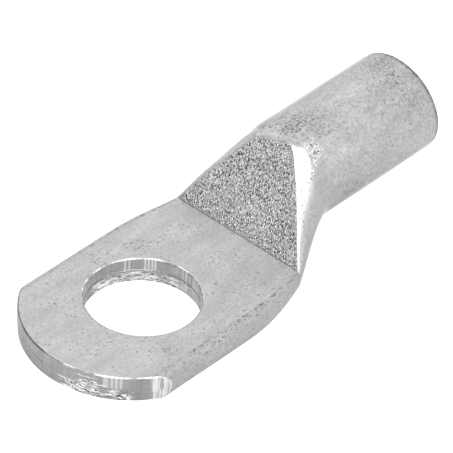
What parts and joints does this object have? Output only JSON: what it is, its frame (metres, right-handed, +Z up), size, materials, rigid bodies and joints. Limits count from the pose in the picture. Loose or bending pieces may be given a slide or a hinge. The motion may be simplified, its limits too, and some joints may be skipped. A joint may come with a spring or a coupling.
{
  "type": "cable lug",
  "caption": "Tubular cable lug: a round barrel for the stripped conductor, a pressed ramp, and a flat palm with a stud hole and a rounded end.",
  "frame": {"origin": "centre of the stud hole on the palm's underside", "axes": "+X along the lug to the barrel's mouth, +Z up out of the palm on the barrel's side, +Y to the left"},
  "size_m": [0.036, 0.0142, 0.0091],
  "materials": {
    "tinned_copper": "matt tin plate on copper, light grey"
  },
  "bodies": {
    "root": {"cable_lug": "tinned_copper"}
  },
  "joints": []
}
